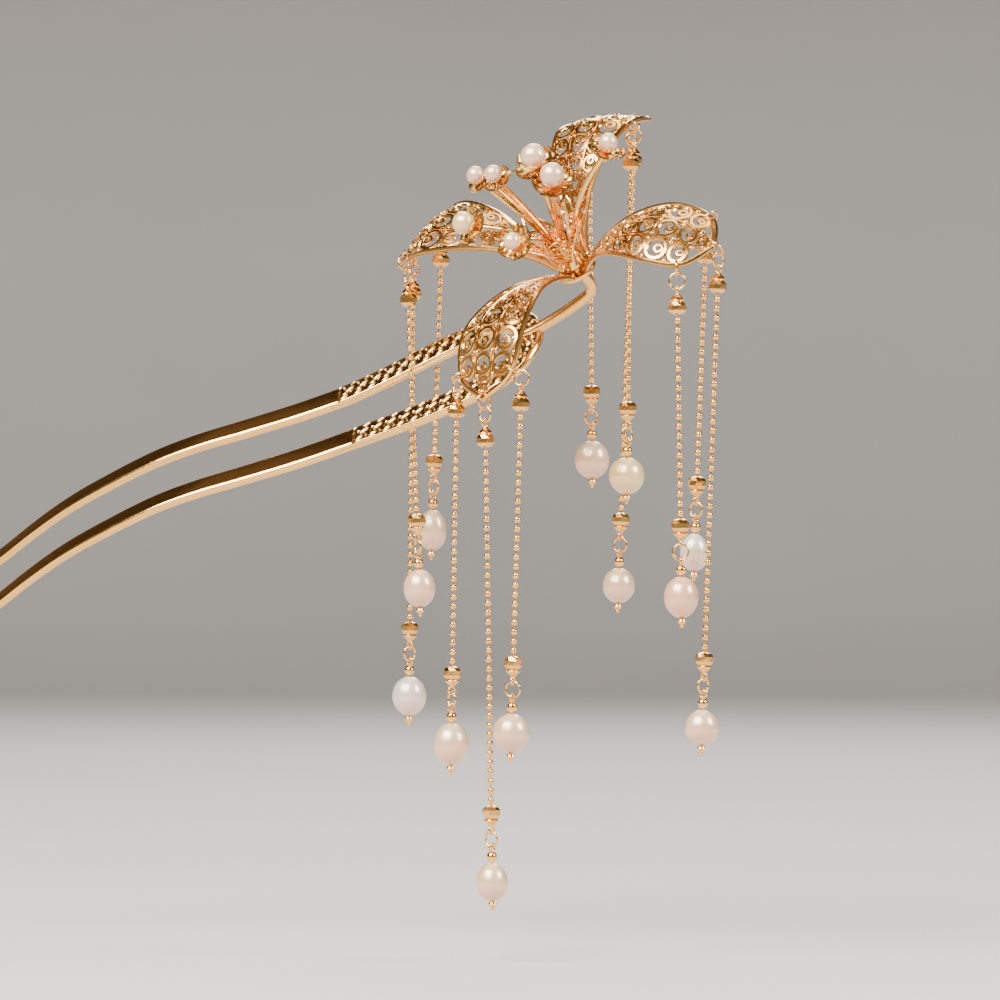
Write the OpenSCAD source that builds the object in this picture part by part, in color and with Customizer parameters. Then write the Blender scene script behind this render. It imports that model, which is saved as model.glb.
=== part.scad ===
// A two-pronged hairpin with a filigree flower, pearl stamens and twelve swaying tassels.
// The origin is the point midway between the prongs where the hair grips them.
// +X runs along the pin towards the flower, +Z is up, and the tassels hang along -Z.

/* [Wearing] */
// Rise of the pin above the horizontal, in degrees
pin_rise = 21.96; // [0:0.5:45]
// Roll of the pin about its own length, in degrees
pin_roll = 40.4; // [0:0.5:60]

/* [Pin] */
// From the grip to the prong tips
grip_to_tips = 33; // [20:1:60]
// From the grip to the outside of the bend
grip_to_bend = 97.5; // [80:0.5:130]
// Distance between the prongs' centre lines at the tips
tip_spacing = 13; // [9:0.5:15]
// Distance between the prongs' centre lines at the bend
head_spacing = 16; // [15:0.5:22]
// Width of the strip at the bend
head_w = 4.9; // [3.5:0.1:6]
// Width of the strip near the tips
tip_w = 2.8; // [2:0.1:4]
// Thickness of the strip
strip_t = 1.4; // [1:0.1:2]
// Height of the arch of the prongs
arch_h = 3.4; // [0:0.1:8]
// Length of the engraved stretch of each prong, before the bend
engraved_l = 28; // [10:1:40]
// Stretch beside the bend where the prongs keep their full spacing
steady_l = 6; // [2:1:8]
// Height of the raised cloud curls
relief_h = 0.35; // [0.1:0.05:0.5]

/* [Neck] */
// From the outside of the bend to the flower's axis
neck_reach = 10.5; // [8:0.5:20]
// Height of the flower's seat above the grip
flower_rise = 9.45; // [8:0.05:20]
// Diameter of the neck wire
neck_d = 1.8; // [1.2:0.1:2.5]

/* [Petals] */
// Reach of a petal from the flower's axis to its tip
petal_reach = 31.3; // [26:0.1:40]
// Width of a petal
petal_w = 14; // [11:0.5:18]
// Thickness of a petal at its ribs
petal_t = 0.6; // [0.4:0.05:1]
// Height of a petal's crown above the flower's seat
petal_crown = 9; // [4:0.5:14]
// Width of the metal between two openings
rib_w = 1.1; // [0.9:0.1:1.6]
// Turn of the flower about its own axis, in degrees
flower_turn = -28.5; // [-45:0.5:45]

/* [Stamens] */
// Length of a stamen from the flower's seat to the middle of its pearl
stamen_l = 22.6; // [16:0.5:30]
// Diameter of a stamen's wire
stamen_wire_d = 0.9; // [0.6:0.1:1.4]
// Diameter across a stamen's flower cap
stamen_cap_d = 6.2; // [4:0.1:8]

/* [Tassels] */
// Diameter of the ball chain
chain_d = 1; // [0.7:0.1:1.4]
// Diameter of the faceted caps
cap_d = 2.9; // [2.2:0.1:4]
// Length of the faceted caps
cap_l = 3.3; // [2.5:0.1:5]
// Mean diameter of the small ring through a petal's rim
jump_ring_d = 2.7; // [2.4:0.1:3]
// Mean diameter of the larger rings
link_ring_d = 2.5; // [2:0.1:3.5]
// Mean diameter of the loops on caps and headpins
loop_d = 1.2; // [1.1:0.1:1.8]
// Diameter of the rings' wire
ring_wire_d = 0.36; // [0.3:0.02:0.5]
// Diameter of the headpin's wire
headpin_d = 0.44; // [0.3:0.02:0.6]
// Diameter of the bead above a pearl
top_bead_d = 1.7; // [1.2:0.1:2.4]
// Diameter of the ball below a pearl
end_ball_d = 1.4; // [1:0.1:2]

/* [Hidden] */

gold = [0.93, 0.68, 0.42];
pearl_white = [0.95, 0.89, 0.84];
round_fn = 48;

// Clearance between pieces that are fitted to each other, and between links
fit_gap = 0.12;

// Side curve of the prongs: share of the pin's length from the tips, share of the arch height
side_curve = [[0, -2.1], [0.107, -1.44], [0.2, -0.57], [0.253, 0], [0.307, 0.48],
              [0.356, 0.75], [0.451, 1], [0.513, 0.87], [0.578, 0.53], [0.661, 0.14],
              [0.746, -0.06], [0.874, -0.04], [1, 0.19]];

// Petal outline: share of the length from base to tip, share of half the petal's width
petal_outline = [[0, 0.21], [0.1, 0.25], [0.22, 0.42], [0.42, 0.75], [0.58, 0.94],
                 [0.7, 1], [0.82, 0.95], [0.9, 0.79], [0.95, 0.5], [1, 0]];

// Petals: turn in degrees, crown and tip heights as shares of petal_crown, bank, share of the reach
petal_right = [-3, 0.86, 0.24, -0.04, 0.98];
petal_back = [93, 1.36, 0.36, 0.05, 1];
petal_left = [173.5, 1.05, 0.13, 0.075, 1.195];
petal_front = [267, 0.88, -0.02, 0.1, 1.01];

// Stamens: azimuth and elevation about the flower's axis, pearl diameter, share of the cap's size
stamen_table = [[160.7, 71.6, 3.0, 0.76], [-159.8, 81.8, 2.9, 0.76], [-13.4, 79.2, 4.2, 1.02],
                [-42.2, 66.6, 4.0, 1.02], [9.8, 48.4, 3.2, 0.95], [-147.9, 58.6, 3.7, 1],
                [-99.1, 50.5, 2.8, 0.9]];

// Tassels: petal, side of the petal, openings back from the tip,
// drop to the lower cap, pearl diameter, pearl length, sway in degrees
tassel_a = [petal_front, -1, 1, 48.8, 5.8, 6.8, 1];
tassel_b = [petal_front, 0, 0, 65.9, 5.1, 6.1, -0.9];
tassel_c = [petal_front, 1, 1, 47.8, 6.0, 6.3, 1.7];
tassel_d = [petal_right, -1, 1, 41.3, 5.6, 6.6, -0.8];
tassel_e = [petal_right, 1, 1, 42.9, 4.6, 6.1, 2.2];
tassel_f = [petal_right, 0, 0, 65.8, 5.4, 5.7, 2.1];
tassel_g = [petal_left, 0, 0, 62.6, 5.8, 6.6, 0.6];
tassel_h = [petal_left, 1, 2, 43.1, 5.4, 6.3, -2.3];
tassel_i = [petal_left, -1, 1, 40.3, 4.9, 6.9, 2];
tassel_j = [petal_back, 1, 1, 44.4, 5.8, 6.3, -0.4];
tassel_k = [petal_back, -1, 3, 46.6, 5.9, 6.1, 0.8];
tassel_l = [petal_back, 0, 0, 66, 5.5, 5.9, 2.1];

// Rings of a chain's tube, as shares of the way from the upper cap to the lower one
chain_route = [0, 0.12, 0.25, 0.4, 0.55, 0.7, 0.85, 1];

function smooth(x) = x <= 0 ? 0 : x >= 1 ? 1 : x * x * (3 - 2 * x);
function blend(a, b, x) = a + (b - a) * x;
function unit(v) = v / norm(v);
function backwards(list) = [for (i = [len(list) - 1:-1:0]) list[i]];

// Smooth curve through a table of two columns
function last_row(table, x, i = 0) =
    i >= len(table) - 2 || x < table[i + 1][0] ? i : last_row(table, x, i + 1);
function slope(table, i) =
    let (low = max(i - 1, 0), high = min(i + 1, len(table) - 1))
    (table[high][1] - table[low][1]) / (table[high][0] - table[low][0]);
function curve(table, x) =
    let (i = last_row(table, x), h = table[i + 1][0] - table[i][0],
         u = min(max((x - table[i][0]) / h, 0), 1))
    (1 + 2 * u) * pow(1 - u, 2) * table[i][1] + u * pow(1 - u, 2) * h * slope(table, i)
    + u * u * (3 - 2 * u) * table[i + 1][1] + u * u * (u - 1) * h * slope(table, i + 1);

function turn_z(a, p) =
    [p[0] * cos(a) - p[1] * sin(a), p[0] * sin(a) + p[1] * cos(a), p[2]];
function turn_x(a, p) =
    [p[0], p[1] * cos(a) - p[2] * sin(a), p[1] * sin(a) + p[2] * cos(a)];
function turn_y(a, p) =
    [p[0] * cos(a) + p[2] * sin(a), p[1], p[2] * cos(a) - p[0] * sin(a)];

// From the pin's own frame (prongs along X, flower axis along Z) to the worn position
function worn(p) = turn_y(-pin_rise, turn_x(pin_roll, p));
module worn() { rotate([0, -pin_rise, 0]) rotate([pin_roll, 0, 0]) children(); }

flower_at = [grip_to_bend + neck_reach, 0, flower_rise];
module at_flower() { worn() translate(flower_at) rotate([0, 0, flower_turn]) children(); }

// Pin: centre line and section
pin_l = grip_to_tips + grip_to_bend;
function side_height(a) = arch_h * (curve(side_curve, (a + grip_to_tips) / pin_l)
                                    - curve(side_curve, grip_to_tips / pin_l));
bend_r = head_spacing / 2;
bend_at = grip_to_bend - head_w / 2 - bend_r;
function half_spacing(a) =
    blend(tip_spacing, head_spacing, smooth((a - bend_at + engraved_l) / (engraved_l - steady_l))) / 2;
function strip_w(a) = blend(tip_w, head_w, smooth((a + grip_to_tips) / (pin_l - head_w)));
// Rounding of a prong's tip: full width one strip's width behind the end
function tip_round(a) =
    let (x = min((a + grip_to_tips) / tip_w, 1)) sqrt(max(1 - pow(1 - x, 2), 0.09));

tip_stations = [for (x = [0, 0.12, 0.35, 0.7, 1]) x * tip_w - grip_to_tips];
plain_steps = 14;
plain_from = tip_w - grip_to_tips;
relief_from = bend_at - engraved_l;
plain_stations = [for (i = [1:plain_steps]) blend(plain_from, relief_from, i / plain_steps)];
relief_pitch = 0.85;
relief_steps = round(engraved_l / relief_pitch);
relief_stations = [for (i = [1:relief_steps]) blend(relief_from, bend_at, i / relief_steps)];
bend_steps = round(bend_r * PI / 2 / relief_pitch);

// Stations of one prong: place, direction across the strip, width, rounding, way into the relief
function prong_stations() =
    [for (a = concat(tip_stations, plain_stations, relief_stations))
        [[a, -half_spacing(a), side_height(a)], [0, 1, 0], strip_w(a) * tip_round(a),
         tip_round(a), a - relief_from]];
function bend_stations() =
    [for (i = [1:bend_steps])
        let (turn = 90 * i / bend_steps, a = bend_at + bend_r * sin(turn))
        [[a, -bend_r * cos(turn), side_height(a)], [-sin(turn), cos(turn), 0], head_w, 1,
         engraved_l + bend_r * turn * PI / 180]];
function other_side(row) =
    [[row[0][0], -row[0][1], row[0][2]], [row[1][0], -row[1][1], 0], row[2], row[3], row[4]];
half_pin = concat(prong_stations(), bend_stations());
far_half = [for (i = [len(half_pin) - 2:-1:0]) other_side(half_pin[i])];
pin_stations = concat(half_pin, far_half);

// Raised curls: bumps in a staggered pattern that starts after a plain lip
curl_l = 3.2;
function curls(way, q) =
    way <= 0 ? 0
    : relief_h * smooth(way / 1.2) * pow(0.5 + 0.5 * sin(360 * way / curl_l + 250 * q), 0.7);

// Section: [share of the width, share of the thickness, share of the relief]
strip_section = [[-0.38, -0.5, 0], [0.38, -0.5, 0], [0.5, -0.2, 0], [0.5, 0.15, 0],
                 [0.44, 0.42, 0], [0.34, 0.5, 1], [0.17, 0.54, 1], [0, 0.56, 1],
                 [-0.17, 0.54, 1], [-0.34, 0.5, 1], [-0.44, 0.42, 0], [-0.5, 0.15, 0],
                 [-0.5, -0.2, 0]];
function strip_ring(row) =
    [for (p = backwards(strip_section))
        row[0] + row[1] * p[0] * row[2]
        + [0, 0, p[1] * strip_t * row[3] + p[2] * curls(row[4], p[0])]];

// Closed skin over a list of rings that each have the same number of points
module skin(rings) {
    count = len(rings[0]);
    last = len(rings) - 1;
    sides = [for (i = [0:last - 1], j = [0:count - 1], half = [0, 1])
        let (a = i * count + j, b = i * count + (j + 1) % count)
        half == 0 ? [a, b, a + count] : [b, b + count, a + count]];
    first_end = [for (j = [count - 1:-1:0]) j];
    last_end = [for (j = [0:count - 1]) last * count + j];
    polyhedron([for (ring = rings) each ring], concat([first_end], sides, [last_end]));
}

// Round wire along points that lie in one plane, square to side
function wire_ring(points, i, r, count, side) =
    let (way = unit(points[min(i + 1, len(points) - 1)] - points[max(i - 1, 0)]), up = cross(side, way))
    [for (k = [0:count - 1])
        points[i] + r * (cos(360 * k / count) * side + sin(360 * k / count) * up)];
module wire(points, d, count, side = [0, -1, 0]) {
    skin([for (i = [0:len(points) - 1]) wire_ring(points, i, d / 2, count, side)]);
}
function arc_between(a, b, c, steps) =
    [for (i = [0:steps]) let (u = i / steps) blend(blend(a, b, u), blend(b, c, u), u)];

// Flower's seat: a plate under the petals, a spacer between them and a post for the stamens
plate_r = 3.4;
plate_t = 0.8;
spacer_r = 1.85;
post_r = 1;
post_h = 1.3;
tab_floor = -petal_t / 2 - fit_gap;
tab_roof = petal_t / 2 + fit_gap;

// A round bar from height low to height high
module rod(r, low, high) {
    translate([0, 0, low]) cylinder(r = r, h = high - low, $fn = round_fn);
}

module flower_seat() {
    rod(plate_r, tab_floor - plate_t, tab_floor);
    rod(spacer_r, tab_floor - plate_t / 2, tab_roof);
    rod(post_r, tab_floor, tab_roof + post_h);
}

// Neck: from inside the bend, out over it and up into the plate
module neck() {
    low = side_height(bend_at + bend_r) + strip_t / 2;
    start = [grip_to_bend - head_w, 0, low - 0.2];
    elbow = [grip_to_bend + neck_reach * 1.12, 0, low + 0.35 * (flower_rise - low)];
    seat = flower_at + [0, 0, tab_floor - plate_t / 2];
    lift = [grip_to_bend + 0.3 * neck_reach, 0, low];
    first = arc_between(start, lift, elbow - [1.6, 0, 0.7], 6);
    second = arc_between(elbow - [1.6, 0, 0.7], elbow + [0.2, 0, 0.9], seat, 6);
    wire(concat(first, [for (i = [1:len(second) - 1]) second[i]]), neck_d, 10);
}

module hairpin() {
    color(gold) {
        worn() {
            skin([for (row = pin_stations) strip_ring(row)]);
            neck();
        }
        at_flower() flower_seat();
    }
}

// Petal: a domed leaf of metal, pierced between its ribs
base_r = 2.2;
leaf_l = petal_reach - base_r;
crown_share = 0.6;
rise_share = 0.03;
camber = 0.22;
hole_rim_share = 0.66;
opening_rows = 8;
opening_from = 0.22;
opening_to = 0.92;
solid_lines = [0, 0.03, 0.06, 0.1, 0.14, 0.18];
tip_bar = 0.75;
tip_hole_r = [0.75, 1.6];
// Openings beside each other in a row, points across each rib line, points round each opening
columns = 3;
line_n = 2 * columns + 1;
opening_n = 8;
tip_hole_n = 10;

function along(r) = (r - base_r) / leaf_l;
function half_w(s) = petal_w / 2 * curve(petal_outline, s);
function petal_height(petal, s) =
    let (crown = petal[1] * petal_crown, tip = petal[2] * petal_crown)
    s < crown_share
    ? crown * pow(sin(90 * max(s - rise_share, 0) / (crown_share - rise_share)), 0.85)
    : crown - (crown - tip) * (1 - cos(90 * (s - crown_share) / (1 - crown_share)));
function petal_point(petal, r, y) =
    let (s = along(r))
    [base_r + (r - base_r) * petal[4], y,
     petal_height(petal, s) + smooth(s * 2) * (petal[3] * y - camber * y * y * 2 / petal_w)];
function petal_normal(petal, r, y) =
    let (e = 0.05, dr = petal_point(petal, r + e, y) - petal_point(petal, r - e, y),
         dy = petal_point(petal, r, y + e) - petal_point(petal, r, y - e))
    unit(cross(dr, dy));
// A point on the upper (side = 1) or under face (side = -1)
function leaf_point(petal, p, side) =
    petal_point(petal, p[0], p[1]) + side * petal_t / 2 * p[2] * petal_normal(petal, p[0], p[1]);

function row_share(i) =
    opening_from + (opening_to - opening_from) * pow(i / opening_rows, 1.2);
line_shares = concat(solid_lines, [for (i = [0:opening_rows]) row_share(i)]);
first_open = len(solid_lines);
function rib_place(s, t) = [base_r + leaf_l * s, t * half_w(s), 1];
function middle_share(row) = (row_share(row) + row_share(row + 1)) / 2;

// Points across each line, points halfway along each opening, and points round each opening
line_points = [for (s = line_shares, j = [0:line_n - 1]) rib_place(s, j / columns - 1)];
middle_points = [for (row = [0:opening_rows - 1], m = [0:columns])
    rib_place(middle_share(row), 2 * m / columns - 1)];
function opening_size(row) =
    [leaf_l * (row_share(row + 1) - row_share(row)) / 2 - rib_w / 2,
     half_w(middle_share(row)) / columns - rib_w / 2];
opening_points = [for (row = [0:opening_rows - 1], c = [0:columns - 1], q = [0:opening_n - 1])
    let (size = opening_size(row), s = middle_share(row), turn = 360 * q / opening_n)
    [base_r + leaf_l * s + size[0] * cos(turn),
     ((2 * c + 1) / columns - 1) * half_w(s) + size[1] * sin(turn), hole_rim_share]];
tip_side_share = (opening_to + 1) / 2;
tip_points = concat(
    [[petal_reach, 0, 1], rib_place(tip_side_share, 1), rib_place(tip_side_share, -1)],
    [for (q = [0:tip_hole_n - 1])
        let (turn = 360 * q / tip_hole_n)
        [petal_reach - tip_bar - tip_hole_r[0] * (1 - cos(turn)), tip_hole_r[1] * sin(turn),
         hole_rim_share]]);
leaf_places = concat(line_points, middle_points, opening_points, tip_points);
layer = len(leaf_places);
middle_at = len(line_points);
opening_at = middle_at + len(middle_points);
tip_at = opening_at + len(opening_points);

// Loops of point numbers, counter-clockwise from above
function cell_edge(row, c) =
    let (low = (first_open + row) * line_n + 2 * c, high = low + line_n,
         middle = middle_at + row * (columns + 1) + c)
    [high + 1, high + 2, middle + 1, low + 2, low + 1, low, middle, high];
function opening_edge(row, c) =
    [for (q = [0:opening_n - 1]) opening_at + (row * columns + c) * opening_n + q];
last_line = (len(line_shares) - 1) * line_n;
tip_edge = concat([tip_at, tip_at + 1], [for (j = [line_n - 1:-1:0]) last_line + j], [tip_at + 2]);
tip_opening = [for (q = [0:tip_hole_n - 1]) tip_at + 3 + q];
function side_loop(j, m) = [for (i = [0:len(line_shares) - 1])
    each i < first_open || i == len(line_shares) - 1 ? [i * line_n + j]
    : [i * line_n + j, middle_at + (i - first_open) * (columns + 1) + m]];
rim_edge = concat(side_loop(0, 0), [tip_at + 2, tip_at, tip_at + 1],
                  backwards(side_loop(line_n - 1, columns)), [for (j = [line_n - 2:-1:1]) j]);

function halves(a, b, c, d) = [[a, b, c], [a, c, d]];
function ring_faces(outer, inner) = [for (q = [0:len(outer) - 1])
    let (n = (q + 1) % len(outer)) each halves(outer[q], outer[n], inner[n], inner[q])];
function wall_faces(loop) = [for (q = [0:len(loop) - 1])
    let (n = (q + 1) % len(loop))
    each halves(loop[q], loop[n], loop[n] + layer, loop[q] + layer)];
solid_faces = [for (i = [0:first_open - 1], j = [0:line_n - 2])
    let (a = i * line_n + j) each halves(a, a + line_n, a + line_n + 1, a + 1)];
face_up = concat(solid_faces,
    [for (row = [0:opening_rows - 1], c = [0:columns - 1])
        each ring_faces(cell_edge(row, c), opening_edge(row, c))],
    ring_faces(tip_edge, tip_opening));
inner_walls = concat(
    [for (row = [0:opening_rows - 1], c = [0:columns - 1]) each wall_faces(opening_edge(row, c))],
    wall_faces(tip_opening));
leaf_faces = concat([for (f = face_up) backwards(f)],
    [for (f = face_up) [for (k = f) k + layer]],
    wall_faces(rim_edge),
    [for (f = inner_walls) backwards(f)]);

module petal(petal) {
    color(gold)
        at_flower() rotate([0, 0, petal[0]])
            polyhedron([for (side = [1, -1], p = leaf_places) leaf_point(petal, p, side)], leaf_faces);
}

// Stamens: a hub over the post, curved stems, a calyx, small flower caps and pearls
hub_r = 2.55;
hub_h = 2.7;
foot_r = 1.4;
cap_lobes = 5;
cap_plate_t = 0.5;
cap_hollow = 0.25;
peg_r = 0.3;
peg_h = 0.9;
stem_steps = 6;

function stamen_way(row) =
    [cos(row[0] - flower_turn) * cos(row[1]), sin(row[0] - flower_turn) * cos(row[1]), sin(row[1])];
// Height of the peg's foot along the stamen, just under the pearl
function cap_top(row) = stamen_l - row[2] / 2 - fit_gap;

module stamen_frame(row) {
    rotate([0, 90 - row[1], row[0] - flower_turn]) children();
}

// Lobed plate, hollowed to a dish that holds the pearl
lobed_outline = [for (k = [0:59])
    stamen_cap_d / 2 * (0.72 + 0.28 * abs(cos(cap_lobes * 3 * k))) * [cos(6 * k), sin(6 * k)]];
module stamen_cap(row) {
    dish_r = stamen_cap_d * row[3];
    stamen_frame(row) translate([0, 0, cap_top(row)]) {
        difference() {
            translate([0, 0, -cap_plate_t])
                linear_extrude(cap_plate_t + cap_hollow * 2) polygon(row[3] * lobed_outline);
            translate([0, 0, dish_r]) sphere(r = dish_r, $fn = round_fn);
        }
        translate([0, 0, -0.2]) cylinder(r = peg_r, h = peg_h + 0.2, $fn = round_fn);
    }
}

module stamen_stem(row) {
    way = stamen_way(row);
    foot = [way[0] * foot_r, way[1] * foot_r, tab_roof + post_h + fit_gap * 2 + stamen_wire_d / 2];
    knee = [way[0] * stamen_l * 0.36, way[1] * stamen_l * 0.36, stamen_l * 0.52];
    side = unit([way[1], -way[0], 0]);
    wire(arc_between(foot, knee, way * (cap_top(row) - cap_plate_t / 2), stem_steps),
         stamen_wire_d, 6, side);
}

// Calyx: a cup whose wall is notched into upright leaves
calyx_h = 8.5;
calyx_r = 4.2;
notch_r = 2.9;
calyx_t = 0.45;
calyx_leaves = 5;
module calyx() {
    difference() {
        rotate_extrude($fn = round_fn)
            polygon([[hub_r * 0.6, 0.6], [calyx_r * 0.62, calyx_h * 0.35], [calyx_r * 0.8, calyx_h * 0.7],
                     [calyx_r, calyx_h], [calyx_r + calyx_t, calyx_h - 0.2],
                     [calyx_r * 0.8 + calyx_t, calyx_h * 0.66], [calyx_r * 0.62 + calyx_t, calyx_h * 0.3],
                     [hub_r * 0.85, 0.6]]);
        for (k = [0:calyx_leaves - 1]) rotate([0, 90, 72 * k + 20])
            translate([-calyx_h * 1.02, 0, 0])
                cylinder(r = notch_r, h = calyx_r * 2, $fn = round_fn);
    }
}

module stamens() {
    color(gold) at_flower() {
        difference() {
            translate([0, 0, tab_roof + fit_gap])
                cylinder(r1 = hub_r, r2 = hub_r * 0.7, h = hub_h, $fn = round_fn);
            rod(post_r + fit_gap, tab_floor, tab_roof + post_h + fit_gap);
        }
        calyx();
        for (row = stamen_table) {
            stamen_stem(row);
            stamen_cap(row);
        }
    }
}

module stamen_pearl(row) {
    color(pearl_white) at_flower() stamen_frame(row)
        difference() {
            translate([0, 0, stamen_l]) sphere(d = row[2], $fn = round_fn);
            translate([0, 0, cap_top(row) - 0.1])
                cylinder(r = peg_r + fit_gap, h = peg_h + fit_gap + 0.1, $fn = round_fn);
        }
}

// Tassels: the jump ring goes round the bar of a petal, square to it, and the rest hangs below.
// A place on that bar, moved along it by shift
function bar_place(tassel, shift) =
    let (side = tassel[1], row = opening_rows - tassel[2], s = middle_share(row) + shift / leaf_l)
    side == 0 ? [petal_reach - tip_bar / 2, shift]
    : [base_r + leaf_l * s, side * (half_w(s) - rib_w / 4)];
function bar_point(tassel, shift) =
    let (petal = tassel[0], place = bar_place(tassel, shift))
    worn(flower_at + turn_z(flower_turn + petal[0], petal_point(petal, place[0], place[1])));
bar_step = 0.3;
function bar_way(tassel) = unit(bar_point(tassel, bar_step) - bar_point(tassel, -bar_step));

jump_at = -0.25;
jump_foot = jump_at - jump_ring_d / 2;
module at_bar(tassel) {
    way = bar_way(tassel);
    translate(bar_point(tassel, 0)) rotate([0, tassel[6], 0]) rotate([0, 0, atan2(way[0], -way[1])])
        children();
}
// The hanging part: heights below are measured down from the bar, along the jump ring's plane
module hang(tassel) {
    steep = asin(bar_way(tassel)[2]);
    at_bar(tassel) translate([0, jump_foot * sin(steep), jump_foot * (cos(steep) - 1)]) children();
}

wire_step = ring_wire_d + fit_gap;
link_at = jump_at - (jump_ring_d + link_ring_d) / 2 + wire_step;
top_loop_at = link_at - (link_ring_d + loop_d) / 2 + wire_step;
top_cap_at = top_loop_at - loop_d / 2;
chain_from = top_cap_at - cap_l - fit_gap;
function chain_to(tassel) = -tassel[3] + cap_l / 2 + fit_gap;
function low_cap_at(tassel) = -tassel[3] + cap_l / 2;
function low_loop_at(tassel) = low_cap_at(tassel) - cap_l - loop_d / 2;
function low_link_at(tassel) = low_loop_at(tassel) - (link_ring_d + loop_d) / 2 + wire_step;
function pin_loop_at(tassel) = low_link_at(tassel) - (link_ring_d + loop_d) / 2 + wire_step;
function top_bead_at(tassel) = pin_loop_at(tassel) - (loop_d + top_bead_d) / 2;
function pearl_at(tassel) = top_bead_at(tassel) - top_bead_d / 2 - fit_gap - tassel[5] / 2;
function end_ball_at(tassel) = pearl_at(tassel) - tassel[5] / 2 - fit_gap - end_ball_d / 2;

// A ring whose plane stands upright, at height z
module ring(d, z, turn) {
    translate([0, 0, z]) rotate([90, 0, turn])
        rotate_extrude($fn = round_fn) translate([d / 2, 0]) circle(d = ring_wire_d, $fn = 24);
}

// Faceted cap: [share of the radius, share of the length from the ring's end]
cap_form = [[0.3, 0], [0.74, 0.1], [1, 0.34], [1, 0.58], [0.7, 0.84], [0.4, 1]];
cap_facets = 8;
module cap(z, way) {
    translate([0, 0, z])
        rotate_extrude($fn = cap_facets)
            polygon(concat([[0, 0]], [for (p = cap_form) [p[0] * cap_d / 2, way * p[1] * cap_l]],
                           [[0, way * cap_l]]));
}

module fittings(tassel) {
    color(gold) at_bar(tassel)
        rotate([-asin(bar_way(tassel)[2]), 0, 0]) ring(jump_ring_d, jump_at, 0);
    color(gold) hang(tassel) {
        ring(link_ring_d, link_at, 90);
        union() {
            ring(loop_d, top_loop_at, 0);
            cap(top_cap_at, -1);
        }
        union() {
            cap(low_cap_at(tassel) - cap_l, 1);
            ring(loop_d, low_loop_at(tassel), 0);
        }
        ring(link_ring_d, low_link_at(tassel), 90);
        union() {
            ring(loop_d, pin_loop_at(tassel), 0);
            translate([0, 0, top_bead_at(tassel)]) sphere(d = top_bead_d, $fn = round_fn);
            translate([0, 0, end_ball_at(tassel)])
                cylinder(d = headpin_d, h = top_bead_at(tassel) - end_ball_at(tassel), $fn = round_fn);
            translate([0, 0, end_ball_at(tassel)]) sphere(d = end_ball_d, $fn = round_fn);
        }
    }
}

module chain(tassel) {
    color(gold) hang(tassel)
        wire([for (u = chain_route) [0, 0, blend(chain_from, chain_to(tassel), u)]], chain_d, 8);
}

pearl_steps = 12;
module pearl(tassel) {
    color(pearl_white) hang(tassel) translate([0, 0, pearl_at(tassel)])
        difference() {
            rotate_extrude($fn = round_fn)
                polygon([for (k = [0:pearl_steps])
                    let (a = 180 * k / pearl_steps - 90) [tassel[4] / 2 * cos(a), tassel[5] / 2 * sin(a)]]);
            cylinder(d = headpin_d + 2 * fit_gap, h = tassel[5] + 1, center = true, $fn = round_fn);
        }
}

hairpin();
stamens();
petal(petal_right);
petal(petal_back);
petal(petal_left);
petal(petal_front);
stamen_pearl(stamen_table[0]);  // stamen_pearl_1
stamen_pearl(stamen_table[1]);  // stamen_pearl_2
stamen_pearl(stamen_table[2]);  // stamen_pearl_3
stamen_pearl(stamen_table[3]);  // stamen_pearl_4
stamen_pearl(stamen_table[4]);  // stamen_pearl_5
stamen_pearl(stamen_table[5]);  // stamen_pearl_6
stamen_pearl(stamen_table[6]);  // stamen_pearl_7
fittings(tassel_a);  // fittings_a
fittings(tassel_b);  // fittings_b
fittings(tassel_c);  // fittings_c
fittings(tassel_d);  // fittings_d
fittings(tassel_e);  // fittings_e
fittings(tassel_f);  // fittings_f
fittings(tassel_g);  // fittings_g
fittings(tassel_h);  // fittings_h
fittings(tassel_i);  // fittings_i
fittings(tassel_j);  // fittings_j
fittings(tassel_k);  // fittings_k
fittings(tassel_l);  // fittings_l
chain(tassel_a);  // chain_a
chain(tassel_b);  // chain_b
chain(tassel_c);  // chain_c
chain(tassel_d);  // chain_d
chain(tassel_e);  // chain_e
chain(tassel_f);  // chain_f
chain(tassel_g);  // chain_g
chain(tassel_h);  // chain_h
chain(tassel_i);  // chain_i
chain(tassel_j);  // chain_j
chain(tassel_k);  // chain_k
chain(tassel_l);  // chain_l
pearl(tassel_a);  // pearl_a
pearl(tassel_b);  // pearl_b
pearl(tassel_c);  // pearl_c
pearl(tassel_d);  // pearl_d
pearl(tassel_e);  // pearl_e
pearl(tassel_f);  // pearl_f
pearl(tassel_g);  // pearl_g
pearl(tassel_h);  // pearl_h
pearl(tassel_i);  // pearl_i
pearl(tassel_j);  // pearl_j
pearl(tassel_k);  // pearl_k
pearl(tassel_l);  // pearl_l
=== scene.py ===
# %% [markdown]
# # A two-pronged hairpin with a filigree flower and pearl tassels
# This lesson dresses a measured model. The model comes from CAD and sits in one frame, in metres,
# with the origin where the hair grips the prongs. Nothing here may move it. Each step below builds
# one kind of piece over the plain solid that it stands for, so the pin keeps its true size.

# %% Load the measured model
import math

import numpy

import bpy
from mathutils import Matrix, Vector


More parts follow.
